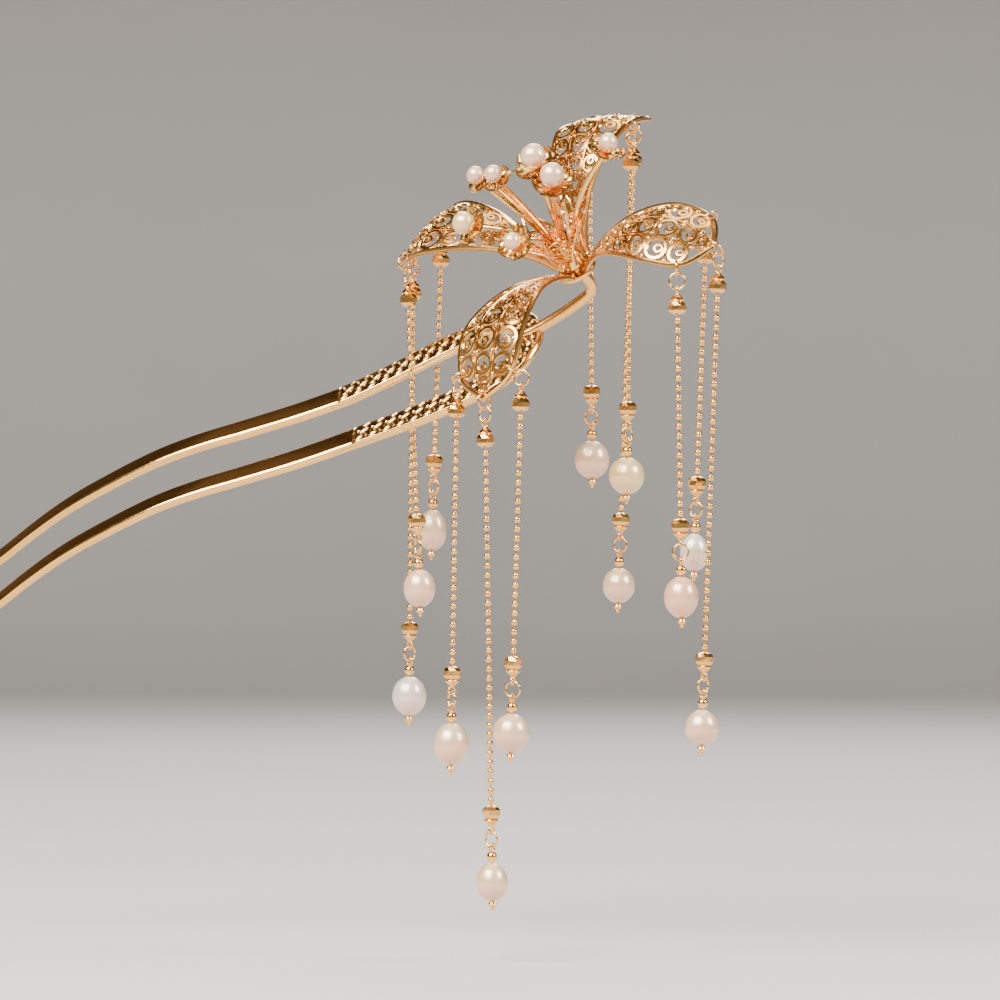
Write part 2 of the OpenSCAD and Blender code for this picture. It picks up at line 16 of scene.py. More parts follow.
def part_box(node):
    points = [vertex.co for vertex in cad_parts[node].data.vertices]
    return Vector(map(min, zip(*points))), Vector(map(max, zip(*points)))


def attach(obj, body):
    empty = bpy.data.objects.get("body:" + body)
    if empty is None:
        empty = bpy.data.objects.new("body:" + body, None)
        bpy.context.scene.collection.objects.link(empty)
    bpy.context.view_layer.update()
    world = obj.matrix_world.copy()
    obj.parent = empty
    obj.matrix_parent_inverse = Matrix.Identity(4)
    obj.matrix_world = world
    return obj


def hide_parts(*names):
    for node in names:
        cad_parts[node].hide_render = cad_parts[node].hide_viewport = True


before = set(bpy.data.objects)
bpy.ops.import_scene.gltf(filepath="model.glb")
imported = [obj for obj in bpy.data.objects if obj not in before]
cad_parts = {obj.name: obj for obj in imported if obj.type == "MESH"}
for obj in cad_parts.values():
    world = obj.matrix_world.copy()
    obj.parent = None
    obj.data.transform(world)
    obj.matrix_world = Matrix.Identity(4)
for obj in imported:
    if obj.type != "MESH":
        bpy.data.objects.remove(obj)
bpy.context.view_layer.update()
print("pieces of the measured model:", len(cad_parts))

# %% [markdown]
# ## The camera
# The photograph looks at the pin from the front and a little from the right, level with it, through
# a long lens, so near and far tassels come out almost the same size. A long lens far away does the
# same here: 194 mm at about 0.9 m. The camera needs no tilt, because its axis is level.

# %% Place the camera
LENS_MM, SENSOR_MM = 194.2, 36
CAMERA_AT, CAMERA_TURN = (0.3515, -0.8383, 0.0092), 17.77
camera_data = bpy.data.cameras.new("camera")
camera_data.lens = LENS_MM
camera_data.sensor_width = SENSOR_MM
camera_data.dof.use_dof = False
camera = bpy.data.objects.new("camera", camera_data)
bpy.context.scene.collection.objects.link(camera)
bpy.context.scene.camera = camera
camera.location = CAMERA_AT
camera.rotation_euler = (math.radians(90), 0, math.radians(CAMERA_TURN))
print("camera lens in mm:", camera_data.lens)

# %% [markdown]
# ## Small helpers for modelling
# Blender's operators act on whatever is selected, and the model that was loaded is still selected.
# So the first helper clears the selection and picks what it is given, and the second adds a
# primitive with nothing else selected. Another runs edit-mode steps on one piece, and one moves every
# vertex of it by a rule, as a hand would with many small pulls. The pin is drawn in millimetres until
# a piece is finished, and one number turns it into metres. Camera, floor and lights are in metres.

# %% Selection, reshaping and finishing
MM = 0.001


def pick(*objects):
    bpy.ops.object.select_all(action="DESELECT")
    for item in objects:
        item.select_set(True)
    bpy.context.view_layer.objects.active = objects[0]


def added(operator, **settings):
    """A new primitive, with nothing else selected."""
    bpy.ops.object.select_all(action="DESELECT")
    operator(**settings)
    return bpy.context.object


def edit(piece, *steps):
    """Run edit-mode steps on all of one piece."""
    pick(piece)
    bpy.ops.object.mode_set(mode="EDIT")
    bpy.ops.mesh.select_all(action="SELECT")
    for step in steps:
        step()
    bpy.ops.object.mode_set(mode="OBJECT")


def lay(piece, rule):
    for vertex in piece.data.vertices:
        vertex.co = rule(vertex.co.copy())
    piece.data.update()


def copy_of(piece):
    twin = piece.copy()
    twin.data = piece.data.copy()
    bpy.context.scene.collection.objects.link(twin)
    return twin


def join(name, parts):
    pick(*parts)
    if len(parts) > 1:
        bpy.ops.object.join()
    whole = bpy.context.view_layer.objects.active
    whole.name = name
    whole.data.name = name
    return whole


def apply_all(piece):
    pick(piece)
    for modifier in list(piece.modifiers):
        bpy.ops.object.modifier_apply(modifier=modifier.name)


def in_metres(piece):
    piece.data.transform(Matrix.Scale(MM, 4))
    piece.data.update()


def finish(piece, finish_material, nodes, crease=40):
    """Smooth it, paint it, let it ride with the pin and stand for its CAD nodes."""
    pick(piece)
    bpy.ops.object.shade_smooth_by_angle(angle=math.radians(crease))
    piece.data.materials.clear()
    piece.data.materials.append(finish_material)
    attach(piece, "root")
    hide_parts(*nodes)
    print(piece.name, "has", sum(len(f.vertices) - 2 for f in piece.data.polygons), "triangles")


# %% [markdown]
# ## Wires and strips
# Most of this pin is wire or strip: the prongs, the neck, the rims and the stems. A wire is a sheet
# rolled into a pipe. So a flat grid is added with as many cells as the pipe needs, its rows are laid
# as rings along the course, the seam is merged and the two ends are filled. The same helper makes a
# strip if the rings are rectangles, which keeps all of them alike.

# %% Roll a grid into a pipe
SEAM_GAP = 0.0005


def rolled(name, rings):
    around = len(rings[0])
    pipe = added(bpy.ops.mesh.primitive_grid_add, x_subdivisions=around,
                 y_subdivisions=len(rings) - 1, size=1)
    pipe.name = name
    for vertex in pipe.data.vertices:
        row, column = divmod(vertex.index, around + 1)
        vertex.co = rings[row][column % around]
    edit(pipe, lambda: bpy.ops.mesh.remove_doubles(threshold=SEAM_GAP),
         lambda: bpy.ops.mesh.fill_holes(sides=0),
         lambda: bpy.ops.mesh.normals_make_consistent(inside=False))
    return pipe


def ring_round(centre, way, side, wide, high, count):
    """Points round a wire that runs along way, with side across it."""
    up = side.cross(way).normalized()
    return [centre + side * (wide / 2 * math.cos(2 * math.pi * k / count))
            + up * (high / 2 * math.sin(2 * math.pi * k / count)) for k in range(count)]


def wire(name, points, wide, high=None, count=8, side=None):
    """A wire along points, with side as the direction across it."""
    points = [Vector(p) for p in points]
    rings = []
    for i, point in enumerate(points):
        way = (points[min(i + 1, len(points) - 1)] - points[max(i - 1, 0)]).normalized()
        across = Vector(side) if side else Vector((0, 0, 1)).cross(way)
        across = (across - way * across.dot(way)).normalized()
        rings.append(ring_round(point, way, across, wide, high or wide, count))
    return rolled(name, rings)


def arc_between(a, b, c, steps):
    """A smooth course from a to c that is drawn towards b."""
    a, b, c = Vector(a), Vector(b), Vector(c)
    shares = [i / steps for i in range(steps + 1)]
    return [(a * (1 - u) + b * u) * (1 - u) + (b * (1 - u) + c * u) * u for u in shares]


print("helpers ready")

# %% [markdown]
# ## Worn position
# The pin is drawn flat, with its prongs along X, and then tipped to the slope it is worn at: a rise of
# 22 degrees and a roll of 40 degrees about its own length. The flower sits on its own axis at the end
# of the neck. Two matrices hold these turns, so each piece can be drawn in the simple position first.

# %% Matrices of the worn pin and of the flower
PIN_RISE, PIN_ROLL, FLOWER_TURN = 21.96, 40.4, -28.5
GRIP_TO_TIPS, GRIP_TO_BEND = 33, 97.5
NECK_REACH, FLOWER_RISE = 10.5, 9.45


def rotation(degrees, axis):
    return Matrix.Rotation(math.radians(degrees), 4, axis)


WORN = rotation(-PIN_RISE, "Y") @ rotation(PIN_ROLL, "X")
FLOWER_AT = (GRIP_TO_BEND + NECK_REACH, 0, FLOWER_RISE)
FLOWER = WORN @ Matrix.Translation(FLOWER_AT) @ rotation(FLOWER_TURN, "Z")


def smooth(x):
    x = min(max(x, 0), 1)
    return x * x * (3 - 2 * x)


def mix(a, b, x):
    return a + (b - a) * x


def curve(table, x):
    """A smooth curve through a table of two columns."""
    last = len(table) - 1
    i = max([k for k in range(last) if x >= table[k][0]] or [0])

    def slope(k):
        low, high = max(k - 1, 0), min(k + 1, last)
        return (table[high][1] - table[low][1]) / (table[high][0] - table[low][0])

    step = table[i + 1][0] - table[i][0]
    u = min(max((x - table[i][0]) / step, 0), 1)
    return ((1 + 2 * u) * (1 - u) ** 2 * table[i][1] + u * (1 - u) ** 2 * step * slope(i)
            + u * u * (3 - 2 * u) * table[i + 1][1] + u * u * (u - 1) * step * slope(i + 1))


print("flower axis:", [round(v, 3) for v in FLOWER.col[2][:3]])

# %% [markdown]
# ## Writing shader maths as expressions
# A finish needs small sums on masks. Written node by node they are hard to read, so a thin class
# wraps a socket and turns `1 - mask * 0.5` into the Math nodes that Blender wants. Colours are mixed
# by their own node, because a Math node would turn them grey. One method makes every other node.

# %% The socket wrapper and the finish class
class Signal:
    """A shader socket that can be used in sums."""

    def __init__(self, finish_tree, socket):
        self.tree, self.socket = finish_tree, socket

    def sum_of(self, operation, first, second):
        return self.tree.node("ShaderNodeMath", {"operation": operation}, [first, second])

    def __add__(self, other):
        return self.sum_of("ADD", self, other)

    def __radd__(self, other):
        return self.sum_of("ADD", other, self)

    def __sub__(self, other):
        return self.sum_of("SUBTRACT", self, other)

    def __rsub__(self, other):
        return self.sum_of("SUBTRACT", other, self)

    def __mul__(self, other):
        return self.sum_of("MULTIPLY", self, other)

    def __rmul__(self, other):
        return self.sum_of("MULTIPLY", other, self)


class Finish:
    """A material whose Principled shader is fed by expressions."""

    def __init__(self, name):
        self.material = bpy.data.materials.new(name)
        self.material.use_nodes = True
        self.nodes = self.material.node_tree.nodes
        self.links = self.material.node_tree.links
        self.shader = self.nodes["Principled BSDF"]

    def node(self, kind, settings=None, sockets=None, output=0):
        made = self.nodes.new(kind)
        for key, value in (settings or {}).items():
            setattr(made, key, value)
        pairs = enumerate(sockets) if isinstance(sockets, list) else (sockets or {}).items()
        for key, value in pairs:
            self.feed(made.inputs[key], value)
        return Signal(self, made.outputs[output])

    def feed(self, socket, value):
        if isinstance(value, Signal):
            self.links.new(value.socket, socket)
        else:
            socket.default_value = value

    def set(self, **values):
        """Values or signals for the Principled sockets, with _ for a space."""
        for key, value in values.items():
            self.feed(self.shader.inputs[key.replace("_", " ")], value)
        return self.material

    def place(self):
        return self.node("ShaderNodeTexCoord", output="Object")

    def noise(self, scale, detail):
        return self.node("ShaderNodeTexNoise", sockets={
            "Vector": self.place(), "Scale": scale, "Detail": detail})

    def blend(self, factor, first, second):
        return self.node("ShaderNodeMix", {"data_type": "RGBA"},
                         {0: factor, 6: first, 7: second}, output=2)

    def bump(self, height, strength, distance):
        return self.node("ShaderNodeBump", sockets={
            "Strength": strength, "Distance": distance, "Height": height})


# %% [markdown]
# ## Gold
# The real pin is plated a warm, slightly rosy yellow gold with a high polish. Worked metal is never
# quite even: hand polish leaves faint waves, and hollows stay duller than edges. So the
# colour drifts between two golds on a broad noise, and a fine noise moves the roughness and a very
# small bump. Sizes are per metre here, so a scale of 900 gives marks of about one millimetre. Pieces
# with deep work carry an attribute that says how hollow each point is: the gold is rougher there, and
# its colour is darkened nearly to black there as painted shade.

# %% The golds of the fittings, the petals, the stamens and the prongs
YELLOW_GOLD = (1.0, 0.61, 0.17, 1)
ROSE_GOLD = (0.95, 0.42, 0.12, 1)
# painted shade: the near-black gold that hollow points are darkened towards
PAINTED_SHADE_GOLD = (0.06, 0.026, 0.008, 1)
BROAD, FINE = 110, 1500  # marks of about 9 mm and of 0.7 mm
DULL_DRIFT, DULL_HOLLOW = 0.12, 0.25


def gold(name, dull, wave, rosy, worked=True):
    metal = Finish(name)
    broad = metal.noise(BROAD, 2)
    fine = metal.noise(FINE, 3)
    colour = metal.blend(broad * rosy, YELLOW_GOLD, ROSE_GOLD)
    roughness = fine * DULL_DRIFT + (dull - DULL_DRIFT / 2)
    if worked:
        # painted shade: the colour is darkened towards a near-black gold where the attribute marks a
        # hollow, which is also made rougher
        hollow_shade = metal.node("ShaderNodeAttribute", {"attribute_name": "hollow_shade"}, output="Fac")
        colour = metal.blend(hollow_shade, colour, PAINTED_SHADE_GOLD)
        roughness = roughness + hollow_shade * DULL_HOLLOW
    return metal.set(Base_Color=colour, Metallic=1.0, Roughness=roughness,
                     Normal=metal.bump(fine + broad * 2, 1.0, wave))


polished_gold = gold("polished_gold", 0.15, 0.00001, 0.6, worked=False)
petal_gold = gold("petal_gold", 0.18, 0.00002, 0.9)
stamen_gold = gold("stamen_gold", 0.16, 0.00001, 0.3)
prong_gold = gold("prong_gold", 0.16, 0.00001, 0.7)
print("golds:", [item.name for item in (polished_gold, petal_gold, stamen_gold, prong_gold)])

# %% [markdown]
# ## Pearl
# A freshwater pearl glows because light passes through thin layers of nacre. A clear coat over a soft
# body with a little metal in it gives that look. The body is cream above and darker and rosier below,
# which is painted shade and a painted reflection of warm surroundings, and an attribute on each pearl
# says how high a point lies. Clouds change from pearl to pearl, and faint growth bands show as a tiny
# bump.

# %% Pearl finishes
def pearl(name, above, below):
    nacre = Finish(name)
    cloud = nacre.noise(170, 2)
    fine = nacre.noise(900, 2)
    # painted shade and painted reflection: the body colour turns darker and rosier towards the bottom of
    # the pearl
    rise = nacre.node("ShaderNodeAttribute", {"attribute_name": "rise"}, output="Fac")
    return nacre.set(
        Base_Color=nacre.blend(rise + cloud * 0.5 - 0.25, below, above),
        Roughness=fine * 0.1 + 0.3,
        Metallic=0.22,
        Coat_Weight=1.0,
        Coat_Roughness=0.21,
        Coat_IOR=2.1,
        Specular_IOR_Level=0.7,
        Normal=nacre.bump(fine + cloud, 0.6, 0.00004))


# each finish gives the colour above and below; the darker, rosier colour below is painted shade and
# reflection
pearl_finishes = {
    "cream": pearl("cream_pearl", (0.88, 0.60, 0.36, 1), (0.84, 0.39, 0.21, 1)),
    "yellow": pearl("yellow_pearl", (0.90, 0.66, 0.26, 1), (0.86, 0.50, 0.17, 1)),
    "peach": pearl("peach_pearl", (0.88, 0.50, 0.28, 1), (0.84, 0.36, 0.18, 1)),
    "silver": pearl("silver_pearl", (0.80, 0.70, 0.58, 1), (0.84, 0.48, 0.32, 1)),
}
print("pearl finishes:", sorted(pearl_finishes))

# %% [markdown]
# ## The engraved prongs
# Both prongs and the bend between them are one strip of metal, bent in its own plane. Near the flower its
# upper face is chased: a sloping lip runs along both edges, the ground between them is sunk, and slanting
# cloud ridges stand up from it. The strip is a rolled sheet with a rounded rectangular section, and the
# relief is a height that is added to the points of its upper face. How deep each point lies is kept in
# an attribute, so that the finish can paint shade on the sunk ground and make it rougher.

# %% Course of the strip
TIP_SPACING, HEAD_SPACING = 13, 16
TIP_W, HEAD_W, STRIP_T, ARCH_H = 2.8, 4.9, 1.4, 3.4
ENGRAVED_L, STEADY_L, RELIEF_H = 28, 6, 0.27
LATER_START = 3.0  # the front prong is left plain for this much longer
PLAIN_STEPS, CHASED_STEPS, BEND_STEPS = 56, 230, 90
BLUNTNESS = 0.09  # keeps the tips from ending in a point
PIN_L = GRIP_TO_TIPS + GRIP_TO_BEND
BEND_R = HEAD_SPACING / 2
BEND_AT = GRIP_TO_BEND - HEAD_W / 2 - BEND_R
SIDE_CURVE = [(0, -2.1), (0.107, -1.44), (0.2, -0.57), (0.253, 0), (0.307, 0.48), (0.356, 0.75),
              (0.451, 1), (0.513, 0.87), (0.578, 0.53), (0.661, 0.14), (0.746, -0.06), (0.874, -0.04),
              (1, 0.19)]


def side_height(a):
    start = curve(SIDE_CURVE, GRIP_TO_TIPS / PIN_L)
    return ARCH_H * (curve(SIDE_CURVE, (a + GRIP_TO_TIPS) / PIN_L) - start)


def half_spacing(a):
    opening = smooth((a - BEND_AT + ENGRAVED_L) / (ENGRAVED_L - STEADY_L))
    return mix(TIP_SPACING, HEAD_SPACING, opening) / 2


def strip_w(a):
    return mix(TIP_W, HEAD_W, smooth((a + GRIP_TO_TIPS) / (PIN_L - HEAD_W)))


def tip_round(a):
    x = min((a + GRIP_TO_TIPS) / TIP_W, 1)
    return math.sqrt(max(1 - (1 - x) ** 2, BLUNTNESS))


def stations():
    """Centre, direction across, width, rounding and way into the relief, for half of the pin.

    The last value is the way along the pattern, which is the same here."""
    tips = [x * TIP_W - GRIP_TO_TIPS for x in (0, 0.03, 0.08, 0.16, 0.3, 0.5, 0.75, 1)]
    plain = [mix(tips[-1], BEND_AT - ENGRAVED_L, (i + 1) / PLAIN_STEPS) for i in range(PLAIN_STEPS)]
    chased = [mix(plain[-1], BEND_AT, (i + 1) / CHASED_STEPS) for i in range(CHASED_STEPS)]
    rows = [(Vector((a, -half_spacing(a), side_height(a))), Vector((0, 1, 0)),
             strip_w(a) * tip_round(a), tip_round(a), a - plain[-1], a - plain[-1])
            for a in tips + plain + chased]
    for i in range(1, BEND_STEPS + 1):
        turn = math.pi / 2 * i / BEND_STEPS
        a = BEND_AT + BEND_R * math.sin(turn)
        rows.append((Vector((a, -BEND_R * math.cos(turn), side_height(a))),
                     Vector((-math.sin(turn), math.cos(turn), 0)), HEAD_W, 1,
                     ENGRAVED_L + BEND_R * turn, ENGRAVED_L + BEND_R * turn))
    return rows


half_pin = stations()
middle_way = half_pin[-1][4]
other_half = [(Vector((c.x, -c.y, c.z)), Vector((s.x, -s.y, 0)), w, r, way, 2 * middle_way - way)
              for c, s, w, r, way, _ in reversed(half_pin[:-1])]
half_pin = [(c, s, w, r, way - LATER_START, along) for c, s, w, r, way, along in half_pin]
print("stations along the pin:", len(half_pin) + len(other_half))

# %% Relief of the chased face
RIDGE_PITCH, RIDGE_SLANT, RIDGE_WAVE = 2.55, 0.40, 0.13
RIDGE_HALF, RIDGE_THINNING = 0.52, 0.16
NOTCH_AT, NOTCH_W, NOTCH_DEPTH = 0.62, 0.1, 0.75
DOTS = [(1.2, -0.6, 0.3, 0.36), (-1.15, 0.2, 0.22, 0.26)]  # along, across and both half sizes
ACROSS_SCALE, FADE_L = 1.8, 1.0
LIP_FROM, LIP_TO, LIP_H, LIP_SLOPE = 0.37, 0.41, 0.45, 0.45


def bump_at(x, y, wide, high):
    return math.exp(-(x / wide) ** 2 - (y / high) ** 2)


def chasing(into, along, q):
    """Height and hollowness of the chased face, from 0 to 1.

    into is the way from the start of the relief, along the way of the pattern, q the share across."""
    if into <= 0 or abs(q) > 0.5:
        return 0, 0
    fade = smooth(into / FADE_L)
    lip = smooth((abs(q) - LIP_FROM) / (LIP_TO - LIP_FROM))
    inner = 1 - lip
    v = q / LIP_FROM
    bend = RIDGE_SLANT * v + RIDGE_WAVE * math.sin(2 * math.pi * v)
    off = ((along / RIDGE_PITCH - bend + 0.5) % 1 - 0.5) * RIDGE_PITCH
    ridge = math.exp(-(off / (RIDGE_HALF - RIDGE_THINNING * abs(v))) ** 4)
    ridge *= 1 - NOTCH_DEPTH * bump_at(v - NOTCH_AT, 0, NOTCH_W, 1)
    dot = max(bump_at(off - x, (v - y) * ACROSS_SCALE, wide, high) for x, y, wide, high in DOTS)
    worked = min(max(ridge, dot), 1) * inner
    return fade * max(worked, LIP_H * lip), fade * (1 - worked) * inner


TOP_HALF, TOP_STEPS = 0.455, 34
FACE_FROM, SLOPE_FROM = 0.49, 0.2  # heights where the chased face and its sloping edge begin
SIDE = [(0.455, -0.44), (0.49, -0.3), (0.5, -0.1), (0.5, 0.12), (0.49, 0.32), (0.475, 0.43)]
TOP = [TOP_HALF - 2 * TOP_HALF * k / TOP_STEPS for k in range(TOP_STEPS + 1)]
SECTION = ([(q, -0.5) for q in (-0.38, -0.2, 0, 0.2, 0.38)] + SIDE
           + [(q, 0.5 + 0.05 * (1 - (q / 0.5) ** 2)) for q in TOP]
           + [(-q, t) for q, t in reversed(SIDE)])


def strip_ring(row):
    centre, across, width, rounding, into, along = row
    ring = []
    for q, t in SECTION:
        z = t * STRIP_T * rounding + (t > FACE_FROM) * RELIEF_H * chasing(into, along, q)[0]
        z -= (t > SLOPE_FROM) * LIP_SLOPE * rounding * width * max(abs(q) - LIP_FROM, 0)
        ring.append(centre + across * (q * width) + Vector((0, 0, z)))
    return ring


all_rows = half_pin + other_half
strip = rolled("strip", [strip_ring(row) for row in all_rows])
print("strip points:", len(strip.data.vertices))

# %% Keep how deep each point lies
hollows = {}
for row in all_rows:
    for point, (q, t) in zip(strip_ring(row), SECTION):
        deep = chasing(row[4], row[5], q)[1] if t > FACE_FROM else 0
        hollows[tuple(round(v, 3) for v in point)] = deep
# painted shade: how deep each point lies darkens the sunk ground of the chased face
hollow_shade = strip.data.attributes.new("hollow_shade", "FLOAT", "POINT")
for vertex in strip.data.vertices:
    hollow_shade.data[vertex.index].value = hollows.get(tuple(round(v, 3) for v in vertex.co), 0)
lay(strip, lambda p: WORN @ p)
print("deepest share:", round(max(item.value for item in hollow_shade.data), 2))

# %% [markdown]
# ## The neck and the flower's seat
# A round wire leaves the inside of the bend, lies on it, and sweeps up and back to carry the flower. It
# ends under a small round plate, and the petals' tabs are held between that plate and the hub. The
# wire is soldered, so strip, wire and seat are one piece of metal.

# %% Neck wire, plate and spacer
NECK_D, PETAL_T, FIT_GAP = 1.8, 0.6, 0.12
ELBOW_OUT, ELBOW_UP = 1.12, 0.35
TAB_FLOOR, TAB_ROOF = -PETAL_T / 2 - FIT_GAP, PETAL_T / 2 + FIT_GAP
PLATE_R, PLATE_T, SPACER_R = 3.4, 0.8, 1.85
low = side_height(BEND_AT + BEND_R) + STRIP_T / 2
elbow = Vector((GRIP_TO_BEND + NECK_REACH * ELBOW_OUT, 0, low + ELBOW_UP * (FLOWER_RISE - low)))
hold = elbow - Vector((1.6, 0, 0.7))
seat = Vector((GRIP_TO_BEND + NECK_REACH, 0, FLOWER_RISE + TAB_FLOOR - PLATE_T / 2))
neck_course = (arc_between((GRIP_TO_BEND - HEAD_W, 0, low - 0.2),
                           (GRIP_TO_BEND + 0.3 * NECK_REACH, 0, low), hold, 20)
               + arc_between(hold, elbow + Vector((0.2, 0, 0.9)), seat, 20)[1:])
neck = wire("neck", neck_course, NECK_D, count=20, side=(0, -1, 0))
lay(neck, lambda p: WORN @ p)


def turned(name, outline, count=64, stagger=0):
    """A shape turned on a lathe about Z, from (radius, height) pairs.

    stagger turns every other ring by that share of a step."""
    rings = []
    for i, (r, z) in enumerate(outline):
        angles = [2 * math.pi * (k + i % 2 * stagger) / count for k in range(count)]
        rings.append([Vector((r * math.cos(a), r * math.sin(a), z)) for a in angles])
    return rolled(name, rings)


plate_base = TAB_FLOOR - PLATE_T
seat_piece = turned("seat", [(PLATE_R - 0.5, plate_base), (PLATE_R - 0.1, plate_base + 0.12),
                             (PLATE_R, plate_base + 0.35), (PLATE_R - 0.12, TAB_FLOOR - 0.08),
                             (PLATE_R - 0.4, TAB_FLOOR), (SPACER_R, TAB_FLOOR + 0.02),
                             (SPACER_R, TAB_ROOF), (1.0, TAB_ROOF), (1.0, TAB_ROOF + 1.3)])
lay(seat_piece, lambda p: FLOWER @ p)
pin = join("hairpin_metal", [strip, neck, seat_piece])
in_metres(pin)
finish(pin, prong_gold, ["hairpin"], crease=50)

# %% [markdown]
# ## The pierced petals
# Each petal is a leaf of metal, pierced into rows of little scrolls: a ring with a smaller ring set
# against its tip side, which leaves a crescent open. Two ribs part the leaf into three columns, and
# small beads fill the corners between scrolls. All four petals have the same pattern, so the leaf is
# laid out once and flat, with a rim and scrolls that shrink towards the base. Copies of it are then
# domed, each to its own petal's rise and droop.

# %% One scroll and one filler bead
OVERLAP = 0.8
EYE_R, EYE_BAND, EYE_SHIFT = 0.47, 0.46, 0.64


def scroll(name, half_long, half_wide, band):
    """A flat ring with a smaller ring against its tip side."""
    outer, eye = [added(bpy.ops.mesh.primitive_torus_add, major_segments=segments, minor_segments=6,
                        major_radius=1, minor_radius=0.5) for segments in (22, 14)]

    def flat_ring(piece, long, wide, width, shift):
        def rule(p):
            turn, reach = math.atan2(p.y, p.x), math.hypot(p.x, p.y) - 1
            across = reach * width
            return Vector((math.cos(turn) * (long + across) + shift,
                           math.sin(turn) * (wide + across), p.z * PETAL_T))
        lay(piece, rule)

    flat_ring(outer, half_long - band / 2, half_wide - band / 2, band, 0)
    inside = min(half_long, half_wide) - band * OVERLAP
    flat_ring(eye, inside * EYE_R, inside * EYE_R, inside * EYE_BAND,
              half_long - band * OVERLAP - inside * EYE_SHIFT)
    return join(name, [outer, eye])


def seed_ball(x, y, size):
    """A small bead of metal that fills the corner between scrolls."""
    ball = added(bpy.ops.mesh.primitive_uv_sphere_add, segments=8, ring_count=5, radius=size)
    lay(ball, lambda p: Vector((p.x + x, p.y + y, p.z * 0.9)))
    return ball


sample = scroll("sample", 2.1, 2.1, 0.5)
print("triangles in one scroll:", 2 * len(sample.data.polygons))
bpy.data.objects.remove(sample)

# %% The flat leaf
PETAL_REACH, PETAL_W, BASE_R = 31.3, 14, 2.2
LEAF_L = PETAL_REACH - BASE_R
PETAL_OUTLINE = [(0, 0.21), (0.1, 0.25), (0.22, 0.42), (0.42, 0.75), (0.58, 0.94), (0.7, 1),
                 (0.82, 0.95), (0.9, 0.79), (0.95, 0.5), (1, 0)]
RIM_W, RIM_T, RIB_W, RIB_T = 0.8, 1.0, 0.4, 0.8
RIM_STEPS, RIB_STEPS, RIB_FROM, RIB_SPAN = 60, 40, 0.03, 0.9
RIM_INSET, LEAST_ROOM, TAB_HALF, TAB_W = 0.8, 0.6, 1.3, 1.0
MIDDLE_FROM, OUTER_FROM, ROWS_END = 0.955, 0.9, 0.06  # shares of the leaf where rows start and end
ROW_SHARE, SHORTEST_HALF = 0.3, 0.7
BAND_SHARE, WIDEST_BAND = 0.42, 0.78
OVER_LONG, OVER_WIDE = 1.04, 1.02  # scrolls are this much larger than their room, so they meet
SEED_OUT, SEED_R, SLOPE_STEP = 0.8, 0.2, 0.02
# painted shade: how much the sides of the leaf's wires are darkened, most at half their thickness, and how
# far from there it fades out
FLANK_PAINTED_SHADE, FLANK_H = 0.8, 0.2


def half_w(s):
    return PETAL_W / 2 * max(curve(PETAL_OUTLINE, s), 0)


def room_at(s):
    """Half of the width between the rims."""
    return max(half_w(s) - RIM_W * RIM_INSET, LEAST_ROOM)


def rim_course():
    """Points of the rim's centre line, from the base out to the tip and back."""
    shares = [0.004 + 0.996 * (1 - (1 - i / RIM_STEPS) ** 1.6) for i in range(RIM_STEPS + 1)]
    edge = [Vector((BASE_R + LEAF_L * s, half_w(s), 0)) for s in shares]
    inner = []
    for i, point in enumerate(edge):
        way = edge[min(i + 1, RIM_STEPS)] - edge[max(i - 1, 0)]
        at_tip = i == RIM_STEPS
        inward = Vector((-1, 0, 0)) if at_tip else Vector((way.y, -way.x, 0)).normalized()
        point = point + inward * RIM_W / 2
        inner.append(Vector((point.x, max(point.y, 0), 0)))
    return inner + [Vector((p.x, -p.y, 0)) for p in reversed(inner[:-1])]


def flat_leaf():
    parts = [wire("rim", rim_course(), RIM_W, RIM_T, 8)]
    base = [Vector((BASE_R, y, 0)) for y in (-TAB_HALF, 0, TAB_HALF)]
    parts.append(wire("tab", base, TAB_W, PETAL_T, 8))
    for column in (-1, 1):
        shares = [RIB_FROM + RIB_SPAN * i / RIB_STEPS for i in range(RIB_STEPS + 1)]
        course = [Vector((BASE_R + LEAF_L * s, column * room_at(s) / 3, 0)) for s in shares]
        parts.append(wire("rib", course, RIB_W, RIB_T, 6))
    for column in (-1, 0, 1):
        at = MIDDLE_FROM if column == 0 else OUTER_FROM
        while True:
            half_long = max(room_at(at) * ROW_SHARE, SHORTEST_HALF)
            middle = at - half_long / LEAF_L
            if middle < ROWS_END:
                break
            half_wide = room_at(middle) / 3
            ring = scroll("scroll", half_long * OVER_LONG, half_wide * OVER_WIDE,
                          min(WIDEST_BAND, half_wide * BAND_SHARE))
            corners = [seed_ball(half_long, hand * half_wide * SEED_OUT, half_wide * SEED_R)
                       for hand in (-1, 1)]
            piece = join("scroll", [ring] + corners)
            shift = Vector((BASE_R + LEAF_L * middle, column * room_at(middle) * 2 / 3, 0))
            slant = (half_w(middle + SLOPE_STEP) - half_w(middle - SLOPE_STEP)) * 2 / 3 * column
            slant /= 2 * SLOPE_STEP * LEAF_L
            lay(piece, lambda p, m=shift, k=slant: Vector((p.x + m.x, p.y + m.y + p.x * k, p.z)))
            parts.append(piece)
            at = middle - half_long / LEAF_L
    return join("flat_leaf", parts)


leaf = flat_leaf()
# painted shade: the sides of the wires, between the front and back faces, are darkened in the gold
flank = leaf.data.attributes.new("hollow_shade", "FLOAT", "POINT")
for vertex in leaf.data.vertices:
    flank.data[vertex.index].value = FLANK_PAINTED_SHADE * (1 - min(abs(vertex.co.z) / FLANK_H, 1))
print("flat leaf:", len(leaf.data.polygons), "faces")

# %% Dome a copy for each petal
PETAL_CROWN, CAMBER = 9, 0.22
CROWN_SHARE, RISE_SHARE, CROWN_ROUND = 0.6, 0.03, 0.85
NUDGE = 0.05
PETALS = {  # turn, crown, tip, bank and share of the reach
    "right": (-3, 0.86, 0.24, -0.04, 0.98), "back": (93, 1.36, 0.36, 0.05, 1),
    "left": (173.5, 1.05, 0.13, 0.075, 1.195), "front": (267, 0.88, -0.02, 0.1, 1.01)}


